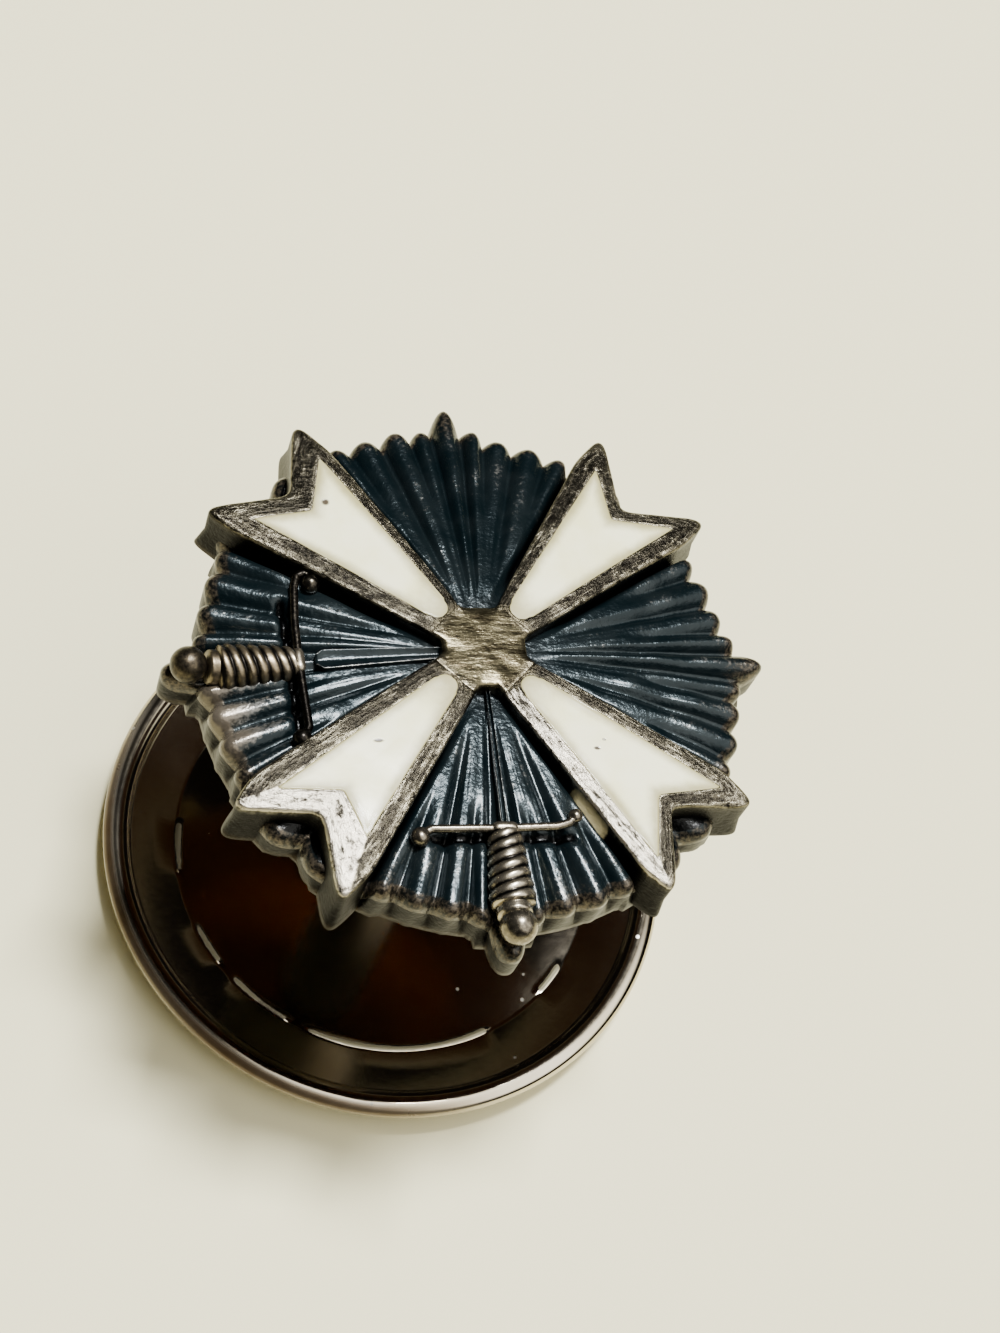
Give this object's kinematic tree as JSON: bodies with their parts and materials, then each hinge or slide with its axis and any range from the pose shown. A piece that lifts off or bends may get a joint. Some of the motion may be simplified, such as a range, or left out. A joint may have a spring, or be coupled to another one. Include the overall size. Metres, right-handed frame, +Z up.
{
  "type": "masonic lapel pin with a screw-post back",
  "caption": "Enamelled cross on a fluted star with sword hilts, a straight post behind it and a dished round back disc that holds it in a buttonhole.",
  "frame": {"origin": "middle of the back disc's underside, on the surface that the pin stands on", "axes": "+Z up along the post, from the disc to the star; the fans of rays lie along X and Y and the cross's arms at 45 degrees between them; the sword hilts point to -X and -Y"},
  "size_m": [0.0174, 0.0174, 0.0135],
  "materials": {
    "worn_silver": "cast silver, oxidised blue-black in the grooves and worn bright on the edges",
    "cream_enamel": "gloss with a few pits and grime at its edges",
    "nickel_silver": "turned, satin",
    "polished_nickel": "polished, with light spots of tarnish"
  },
  "bodies": {
    "root": {"star": "worn_silver", "enamel_upper_right": "cream_enamel", "enamel_upper_left": "cream_enamel", "enamel_lower_left": "cream_enamel", "enamel_lower_right": "cream_enamel", "post": "nickel_silver", "back_disc": "polished_nickel"}
  },
  "joints": []
}
